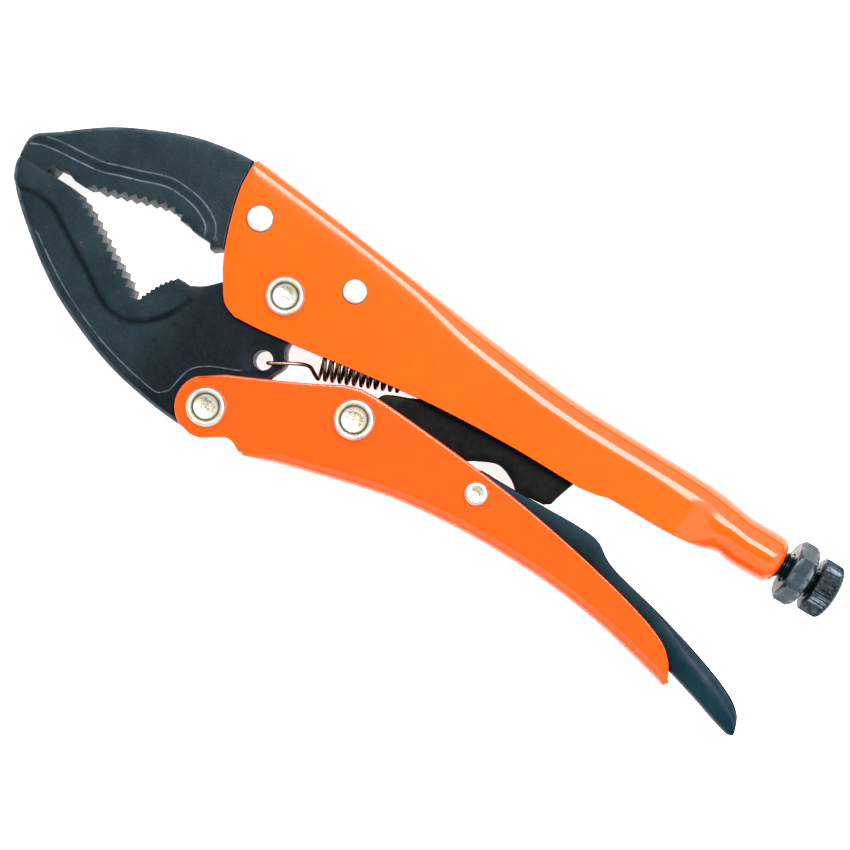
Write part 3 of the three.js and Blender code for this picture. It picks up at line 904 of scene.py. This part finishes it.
# ---- Jaws ----
def upper_jaw():
    border = outline(
        (spline([(-60.38, -2.2), (-60.33, 1.8), (-56, 5.1), (-48, 11), (-40, 15.1), (-32, 18.2), (-24, 19.8),
                 (-19.5, 20.1)]), 1.0),
        (straight([(-19.3, 18), (0, 16.6), (15, 14.8)]), 0.3),
        (spline([(16.5, 13.5), (18, 9), (16.5, 4.4)]), 0.3),
        (straight([(7.6, 3.2), (6.7, 3.1)]), 0.3),
        (arc(JAW_PIVOT, 7.4, 25, 168), 0.3),
        (straight([(-15.3, 1.6), (-16.2, 1.6), (-17.9, 0.3), (-18.7, 1.5), (-22.6, 1.6)]), 0.3),
        (saw_teeth([(-24.3, 2.3), (-26.5, 3.5), (-29.3, 3.85), (-33, 3.05), (-38.5, 1.3), (-44.1, -0.5)],
                   10, 0.95), TOOTH_EDGE),
        (straight([(-46, -1.8), (-48, -1.9), (-50, -1.1), (-53.4, -1.5), (-53.8, -3.18), (-60.1, -3.38)]),
         0.12),
    )
    # The rim's slope gets painted shade and its foot a painted highlight.
    rim = Step([(-60, -0.4), (-57.6, 0.8), (-53.7, 1.5), (-49.5, 1.8), (-44.5, 2.4), (-41.2, 3.5),
                (-37, 4.8), (-33.7, 6), (-31.2, 6.6), (-28.7, 6.6), (-25.3, 6.1), (-22.8, 5.1),
                (-21, 3.9), (-20.3, 2.6)], 2.0, wear_and_painted_light=1.0, foot_highlight=0.8, slope_shade=0.5)
    tang = Step([(x - 0.4, y) for x, y in HANDLE_FRONT], 0.25, wear_and_painted_light=0.5)

    def height(x, y):
        body = lerp(RIM, WEB, rim.share(x, y))
        return lerp(body, TANG, tang.share(x, y))

    holes = [(FRONT_RIVET, 3.1), (REAR_RIVET, 2.9)]
    build = relief_plate(border, height, holes, rim.creases() + tang.creases())
    build.piece("upper_jaw_forging", FORGED_STEEL, "frame", ["upper_jaw"])


def lower_jaw():
    border = outline(
        (spline([(-60.2, -3.5), (-60, -5.5), (-58, -9.2), (-52, -14.7), (-44, -20.8), (-36, -25.3),
                 (-24, -30), (-12, -32.5), (-3, -33.2)]), 1.0),
        (arc(HANDLE_PIVOT, 6.1, 270, 360), 0.4),
        (spline([(4, -24), (4, -19.5), (5.8, -15.2), (7, -12), (5.5, -9), (5.6, -5)]), 0.4),
        (arc(JAW_PIVOT, 6.4, -30, 190), 0.3),
        (spline([(-9.5, -1.6), (-12.2, -3.8), (-15, -6.5), (-17.6, -8)]), 0.3),
        (straight([(-17.6, -8), (-20.4, -7.9)]), 0.25),
        (saw_teeth([(-20.9, -8.8), (-22.6, -11.2), (-23.9, -13.8), (-24.5, -15.2)], 7, -0.4), TOOTH_EDGE),
        (straight([(-24.9, -15.7), (-26, -15.95)]), TOOTH_EDGE),
        (saw_teeth([(-26.9, -16), (-29.5, -13.9), (-36.2, -10.1), (-43, -6), (-47.6, -4.1)], 12, -0.9),
         TOOTH_EDGE),
        (straight([(-49, -3.3), (-53, -3.22), (-60.1, -3.42)]), 0.12),
    )
    # The slope beside the teeth gets painted shade.
    web = Step([(-17, -10.5), (-18, -13), (-19.5, -15.5), (-22, -18), (-25, -19.7), (-28, -19.8),
                (-30, -19.3), (-33, -17.6), (-36, -15.6), (-40, -13.2), (-44, -10.8), (-47, -9),
                (-50, -7.6), (-54, -7.4), (-58, -8)], 1.6, slope_shade=1.0)
    step = Step([(-0.5, -17.6), (-2, -18.2), (-4, -19), (-6, -19.9), (-8, -21.3), (-9, -22.5), (-9.6, -24),
                 (-10, -26), (-10.4, -28), (-11.2, -29), (-12.5, -29.8), (-16, -29.4), (-20, -28.6),
                 (-24, -27.6), (-28, -26.3), (-32, -24.7), (-36, -22.9), (-40, -20.8), (-44, -18.3),
                 (-47, -16.3), (-49, -14.9)], 0.3, wear_and_painted_light=1.0)
    seat_radius, seat_edge, seat_depth = 4.3, 1, 0.2

    def height(x, y):
        body = lerp(RIM, WEB, web.share(x, y))
        body = lerp(body, HUB, smoothstep(x, -25, -14.5))
        body = lerp(body, TANG, step.share(x, y))
        from_hole = math.hypot(x - SPRING_HOLE[0], y - SPRING_HOLE[1])
        return body - seat_depth * (1 - smoothstep(from_hole, seat_radius - seat_edge, seat_radius))

    def shade_towards_pivot(x, wear_and_painted_light):
        """Lines rubbed bright stay as they are; the rest gets painted shade, darker towards the pivot."""
        return wear_and_painted_light if wear_and_painted_light > 0.3 else wear_and_painted_light - 0.9 * smoothstep(x, -26, -10)

    seat_lines = (seat_radius - seat_edge, seat_radius)
    seat = [(arc(SPRING_HOLE, radius, 0, 360, 40), 0.0) for radius in seat_lines]
    holes = [(JAW_PIVOT, PIVOT_HOLE), (HANDLE_PIVOT, PIVOT_HOLE), (SPRING_HOLE, 2.05)]
    build = relief_plate(border, height, holes, web.creases() + step.creases() + seat)
    # Painted shade on the lower jaw towards the pivot.
    build.wear_and_painted_light = [shade_towards_pivot(v[0], wear_and_painted_light) for v, wear_and_painted_light in zip(build.vertices, build.wear_and_painted_light)]
    build.piece("lower_jaw_forging", FORGED_STEEL, "jaw", ["lower_jaw"])


# ---- Link and lever ----
def toggle_link():
    half_thickness, edge, nose_radius = 2.5, 0.4, 2.6
    nose = (71 - nose_radius, SCREW_Y)
    border = outline(
        (arc(LINK_PIVOT, 4.3, 75, 290), edge),
        (spline([(28, -17.6), (36, -14.6), (46, -10.8), (50, -8.6), (54, -7), (57.5, -8), (60, -9.8)]),
         edge),
        (straight([(66, -9.2), (67.3, -8.3)]), edge),
        (spline([(67.3, -8.3), (67.9, -6), (68.9, -3), (70, 0)]), edge),
        (arc(nose, nose_radius, -20, 105), edge),
        (spline([(62, 7.4), (52, 5.4), (42, 1), (33, -4), (28.5, -5.9), (26.6, -7.2), (26, -9.6)]), edge),
    )
    build = relief_plate(border, lambda x, y: half_thickness, [(LINK_PIVOT, PIVOT_HOLE)])
    build.piece("toggle_link_bar", LINK_STEEL, "link", ["toggle_link"])


LEVER_TOP = profile([tuple(p) for p in arc(LEVER_PIVOT, 4.6, 176, 96, 8)]
                    + [(56, -9.7), (66, -9.5), (76, -9.3), (79.5, -10), (82.5, -12), (86, -13.3),
                       (97.5, -16), (110, -19.7), (118.3, -23.1), (121.6, -26), (122.4, -28.7)])
LEVER_BELLY = profile([tuple(p) for p in arc(LEVER_PIVOT, 4.6, 184, 262, 8)]
                      + [(60, -18.2), (80, -20.3), (95, -22.6), (105, -25), (112, -27), (121.4, -29.9),
                         (122.4, -29.4)])
LEVER_FLOOR = profile([(44, -16.5), (60, -16.9), (80, -19), (94, -21), (97, -21.4)])
LEVER_EDGE_STEPS = 6
LEVER_TOP_EDGE = range(4, 5 + LEVER_EDGE_STEPS)   # the ring's points round the top edge


def lever_section(x):
    """(y, z) ring of the release lever: a channel that turns into a solid pad."""
    top = LEVER_TOP(x)
    low = LEVER_BELLY(x)
    half = lerp(4.6, 4.3, smoothstep(x, 112, 122))
    lip = 3.3
    height = top - low
    belly_round = min(lerp(1.8, 2.2, smoothstep(x, 90, 116)), height * 0.45)
    top_round = min(lerp(0.3, 2.3, smoothstep(x, 94, 108)), height * 0.4)
    floor = max(LEVER_FLOOR(x), low + 0.3)
    floor = min(lerp(floor, top, smoothstep(x, 92.5, 97)), top)
    ring = [(floor, 0.0), (floor, lip * 0.96), (min(floor + 0.15, top), lip)]
    ring.append((top, lip if half - top_round > lip else half - top_round))
    turns = [math.pi / 2 * k / LEVER_EDGE_STEPS for k in range(LEVER_EDGE_STEPS + 1)]
    for turn in reversed(turns):
        ring.append((top - top_round * (1 - math.sin(turn)), half - top_round * (1 - math.cos(turn))))
    ring.append(((top + low) / 2, half))
    for turn in turns:
        ring.append((low + belly_round * (1 - math.sin(turn)), half - belly_round * (1 - math.cos(turn))))
    return ring + [(low, 0.0)]


def release_lever():
    """The arm, with painted shade on its neck, and its upper edges rubbed towards the pad."""
    build = Build()
    stations = [48.41, 48.5, 48.8, 49.3, 50, 51, 52.2] + spaced(54, 76, 2.2) + spaced(76, 88, 1.2)
    stations += spaced(88, 112, 1.5) + spaced(112, 120, 1.0) + [120, 120.8, 121.4, 121.9, 122.2, 122.36]
    loops = []
    for x in stations:
        half_ring = lever_section(x)
        points = half_ring + [(y, -z) for y, z in reversed(half_ring[1:-1])]
        # Before the pad the arm gets painted shade (light - 1); its top edges are rubbed more towards the
        # pad.
        light = smoothstep(x, 88, 112)
        loops.append([build.add(x, y, z, 0.8 * light if i in LEVER_TOP_EDGE else light - 1)
                      for i, (y, z) in enumerate(points)])
    build.strips(loops)
    for loop, x in ((loops[0], stations[0]), (loops[-1], stations[-1])):
        ys = [build.vertices[i][1] for i in loop]
        build.fan(loop, build.add(x, (min(ys) + max(ys)) / 2, 0))
    build.piece("release_lever_arm", LEVER_STEEL_TEAL_SHEEN, "lever", ["release_lever"], sharp=40)


# ---- Rivets ----
def about(centre, side=1):
    """Gives the place for a radius, height and angle round a centre, on one side of the plane."""
    def place(radius, height, angle):
        return (centre[0] + radius * math.cos(angle), centre[1] + radius * math.sin(angle), side * height)
    return place


def rivet(name, centre, upper_half, material, body, node):
    """A rivet through the tool, from (radius, height, wear) points of its upper half."""
    build = Build()
    whole = [(r, -z, w) for r, z, w in upper_half[::-1]] + upper_half
    lathe(build, whole, 48, about(centre))
    build.piece(name, material, body, [node], sharp=50)


def shank_and_flange(shank, flange):
    """The upper half of a rivet's shank, up to the underside of its head."""
    return [(shank, 0.4, 0), (shank, WALL + 0.02, 0), (flange, WALL + 0.02, 0.2)]


def cupped_head(shank, radius, top):
    """A ring-shaped rivet head with a deep cup in its middle."""
    inner = radius * 0.7
    return shank_and_flange(shank, radius - 0.35) + [
        (radius - 0.05, WALL + 0.2, 0), (radius, WALL + 0.45, 0), (radius - 0.1, top - 0.5, 0),
        (radius - 0.32, top - 0.18, 0), (radius - 0.65, top - 0.02, 0), (radius - 0.95, top - 0.06, 0),
        # The negative values on the cup's inner wall are painted shade.
        (inner + 0.05, top - 0.32, 0), (inner - 0.05, top - 0.42, -0.5), (inner - 0.18, top - 0.8, -1),
        (inner - 0.4, top - 1.0, -0.6), (inner - 0.95, top - 1.06, 0.2), (inner - 1.15, top - 1.16, 1),
        (inner * 0.3, top - 1.2, 1), (0, top - 1.2, 1),
    ]


def dished_head(shank, radius, top):
    """A small round head with a shallow dish."""
    return shank_and_flange(shank, radius - 0.15) + [
        (radius, WALL + 0.25, 0), (radius - 0.12, top - 0.2, 0), (radius - 0.4, top, 0),
        (radius * 0.6, top - 0.05, 0.2), (radius * 0.45, top - 0.25, 0.8), (radius * 0.2, top - 0.38, 1),
        (0, top - 0.4, 1),
    ]


def flush_end(radius):
    """A rivet end ground almost flush with the paint."""
    return [
        (radius - 0.1, 0.4, 0), (radius - 0.1, WALL - 0.2, 0), (radius, WALL + 0.01, 1),
        (radius - 0.08, WALL + 0.05, 1), (radius - 0.3, WALL + 0.06, 0.6), (radius - 0.45, WALL + 0.09, 0),
        (radius * 0.5, WALL + 0.12, 0), (0, WALL + 0.1, 0),
    ]


def rivets():
    pivots = [("jaw", JAW_PIVOT, 4.05, "frame"), ("handle", HANDLE_PIVOT, 4.1, "grip"),
              ("link", LINK_PIVOT, 4.25, "grip")]
    for name, centre, radius, body in pivots:
        head = cupped_head(PIVOT_SHANK, radius, WALL + 1.3)
        rivet(name + "_pivot_head", centre, head, ZINC, body, name + "_pivot_rivet")
    small_head = dished_head(LEVER_SHANK, 2.45, WALL + 0.9)
    rivet("release_lever_head", LEVER_PIVOT, small_head, ZINC, "grip", "release_lever_rivet")
    for name, centre, radius in (("front", FRONT_RIVET, 2.85), ("rear", REAR_RIVET, 2.65)):
        rivet(name + "_jaw_rivet", centre, flush_end(radius), DULL_STEEL, "frame", "upper_jaw_rivet_" + name)


def link_spacer(name, side):
    """A washer between the link and one wall of the lower handle."""
    build = Build()
    inner, outer, low, high, soft = PIVOT_HOLE, 4.0, 2.7, 4.8, 0.2
    points = [(inner, low + soft), (inner + soft, low), (outer - soft, low), (outer, low + soft),
              (outer, high - soft), (outer - soft, high), (inner + soft, high), (inner, high - soft),
              (inner, low + soft)]
    lathe(build, [(r, z, 0) for r, z in points], 40, about(LINK_PIVOT, side))
    build.piece(name + "_ring", ZINC, "grip", [name])


# ---- Screw, nut and knob ----
def on_screw(radius, along, angle):
    """The place for a radius, distance along and angle round the screw's axis."""
    return (along, SCREW_Y + radius * math.cos(angle), radius * math.sin(angle))


def adjusting_screw():
    """An M6 rod with a helical thread of 1 mm pitch."""
    start, end, crest, root, tip, sides = 73.6, 124.6, 3.0, 2.42, 2.0, 24
    turn = [(0.0, root), (0.1, root), (0.47, crest), (0.6, crest)]
    build = Build()
    rows = []
    for k in range(-4, int(end - start) * 4 + 4):
        share, radius = turn[k % 4]
        row = []
        for j in range(sides):
            x = clamp(start + k // 4 + share + j / sides, start, end)
            limit = tip + min(x - start, end - x)
            row.append(build.add(*on_screw(min(radius, limit), x, 2 * math.pi * j / sides)))
        rows.append(row)
    build.strips(rows, closed=False)
    for k in range(len(rows) - 5):
        build.faces.append((rows[k][-1], rows[k + 1][-1], rows[k + 5][0], rows[k + 4][0]))
    for x in (start, end):
        ring = [build.add(*on_screw(tip, x, angle)) for angle in full_turn(sides)]
        build.fan(ring, build.add(*on_screw(0, x, 0)))
    build.piece("adjusting_screw_rod", BLUED_STEEL, "screw", ["adjusting_screw"], sharp=25)


def turned_piece(stations, radius_at, sides, bore, name, body, node, sharp=28):
    """A piece round the screw from (x, wear) stations, with a radius for each x and angle, and a bore."""
    build = Build()
    loops = []
    for x, wear_and_painted_light in stations:
        loops.append([build.add(*on_screw(radius_at(x, a), x, a), wear_and_painted_light) for a in full_turn(sides)])
    bore_radius, bore_end = bore
    hole = []
    for x in (stations[0][0], bore_end):
        hole.append([build.add(*on_screw(bore_radius, x, a)) for a in full_turn(sides)])
    build.strips(loops)
    build.strip(hole[0], loops[0])
    build.strips(hole)
    if bore_end < stations[-1][0]:
        build.fan(hole[1], build.add(*on_screw(0, bore_end, 0)))
        build.fan(loops[-1], build.add(*on_screw(0, stations[-1][0], 0)))
    else:
        build.strip(hole[1], loops[-1])
    build.piece(name, BLUED_STEEL, body, [node], sharp)


def lock_nut():
    """A hexagon nut with chamfered corners."""
    start, end, flats = 115.1, 119.4, 11.6
    corner = flats / math.sqrt(3)
    sector = math.pi / 3

    def radius_at(x, angle):
        turned = (angle + sector / 2) % sector - sector / 2
        hexagon = flats / 2 / math.cos(sector / 2 - abs(turned))
        from_face = min(x - start, end - x)
        chamfer = corner - 0.9 * (1 - clamp(from_face / 0.8)) ** 1.3
        return min(hexagon, chamfer)

    stations = [(start, 0.3), (start + 0.2, 0.9), (start + 0.45, 0.9), (start + 0.8, 0.5), (start + 1.4, 0),
                (end - 1.4, 0), (end - 0.8, 0.5), (end - 0.45, 0.9), (end - 0.2, 0.9), (end, 0.3)]
    turned_piece(stations, radius_at, 96, (SCREW_BORE, end), "lock_nut_hexagon", "nut", "lock_nut")


def adjusting_knob():
    """A small round knob, knurled round its rim."""
    start, end, radius, ridges, groove_depth = 120.9, 125.8, 5.85, 36, 0.42
    outer = profile([(start, radius - 0.4), (start + 0.3, radius - 0.02), (end - 1.1, radius),
                     (end - 0.6, radius - 0.3), (end - 0.2, radius - 0.9), (end, radius - 1.5)])

    def radius_at(x, angle):
        band = smoothstep(x, start + 0.1, start + 0.4) * (1 - smoothstep(x, end - 1.1, end - 0.7))
        groove = 0.5 - 0.5 * math.cos(ridges * angle)
        return outer(x) - groove_depth * band * groove

    offsets = [0, 0.12, 0.3, 0.45, 0.7, 1.5, 2.4, 3.2, 3.6, 3.8, 4.0, 4.2, 4.45, 4.7, 4.85]
    stations = [(start + d, 0.6 if 0.4 < d < 3.6 else 0.15) for d in offsets] + [(end, 0.2)]
    turned_piece(stations, radius_at, ridges * 6, (SCREW_BORE, end - 0.9), "adjusting_knob_grip", "knob",
                 "adjusting_knob", sharp=50)


# ---- Jaw spring ----
def jaw_spring():
    """Close turns between a hook in the lower jaw and a hook on the upper handle's tab."""
    radius, wire, turns, length = 3.1, 0.8, 11.5, 17
    start = Vector((12.6, -8, 0))
    tilt = math.radians(22)
    along = Vector((math.cos(tilt), math.sin(tilt), 0))
    across = Vector((-math.sin(tilt), math.cos(tilt), 0))
    spacing = 0.35
    front = [(3.5, -13.3, -5.2), (3.5, -13.3, 0), (3.9, -13.2, 4.9), (5, -12.6, 5.3), (9.2, -10.2, 4.3),
             (11.2, -9.6, 2.6), (12.6, -10.3, 1.2)]
    steps_per_turn = 8
    coil = []
    for i in range(int(turns * steps_per_turn) + 1):
        angle = -math.pi / 2 + 2 * math.pi * i / steps_per_turn
        centre = start + along * (length * i / (turns * steps_per_turn)) + across * radius * math.sin(angle)
        coil.append((centre.x, centre.y, -radius * math.cos(angle)))
    rear = [(30.2, 2.2, -0.9), (32.6, 2, 0), (35.2, 1.8, 0), (36.1, 0.4, 0), (35.6, -1, 0)]
    spring = tube("jaw_spring_coil", spline(front + coil + rear, spacing), wire / 2, SPRING_STEEL)
    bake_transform(spring)
    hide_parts("jaw_spring")


# ---- Camera, light and floor ----
def area_light(name, place, target, size, power, colour):
    data = bpy.data.lights.new(name, "AREA")
    data.shape = "RECTANGLE"
    data.size, data.size_y = size
    data.energy = power
    data.color = colour
    lamp = put(name, data)
    lamp.location = place
    lamp.rotation_euler = (Vector(target) - lamp.location).to_track_quat("-Z", "Y").to_euler()


def camera():
    """Straight above the tool and turned, so that the tool lies across the picture's diagonal."""
    height, turn = 0.414, 31
    middle = JAW_PIVOT_AT + Vector((37.2, -7.7, 0)) * MM
    data = bpy.data.cameras.new("camera")
    data.lens = 84.7
    data.sensor_width = 36
    obj = put("camera", data)
    obj.location = (middle.x, middle.y, height)
    obj.rotation_euler = (0, 0, math.radians(turn))
    scene.camera = obj


def floor():
    data = bpy.data.meshes.new("floor")
    half = 3.0
    corners = [(-half, -half, 0), (half, -half, 0), (half, half, 0), (-half, half, 0)]
    data.from_pydata(corners, [], [(0, 1, 2, 3)])
    paper = Finish("floor_paper", 0.0, 0.9)
    paper.set("Base Color", paper.mix(paper.noise(60, 2), (0.9, 0.9, 0.9), (0.93, 0.93, 0.93)))
    paper.bump((paper.noise(0.8, 3), 0.004))
    paper.set("Emission Color", (1, 1, 1))
    paper.set("Emission Strength", 0.85)
    data.materials.append(paper.material)
    obj = put("floor", data)


def light():
    world = bpy.data.worlds.new("studio")
    world.use_nodes = True
    background = world.node_tree.nodes["Background"].inputs
    background["Color"].default_value = (1, 1, 1, 1)
    background["Strength"].default_value = 0.14
    scene.world = world
    scene.view_settings.view_transform = "Standard"
    target = (0, 0, 0.01)
    distance, height = 0.75, 0.6
    white, cool = (1, 1, 1), (0.62, 0.8, 1.0)
    sides = [("left", 180, 4.2, white), ("right", 0, 4.2, white), ("back", 90, 4.6, cool),
             ("front", 270, 4.0, white)]
    for name, angle, power, colour in sides:
        way = math.radians(angle)
        place = (distance * math.cos(way), distance * math.sin(way), height)
        area_light(name, place, target, (1.2, 0.9), power, colour)
    area_light("strip", (0.03, 0.25, 0.7), target, (0.7, 0.26), 7.2, white)


upper_handle()
spring_lug()
lower_handle()
upper_jaw()
lower_jaw()
toggle_link()
release_lever()
rivets()
link_spacer("link_spacer_near", 1)
link_spacer("link_spacer_far", -1)
adjusting_screw()
lock_nut()
adjusting_knob()
jaw_spring()
camera()
floor()
light()
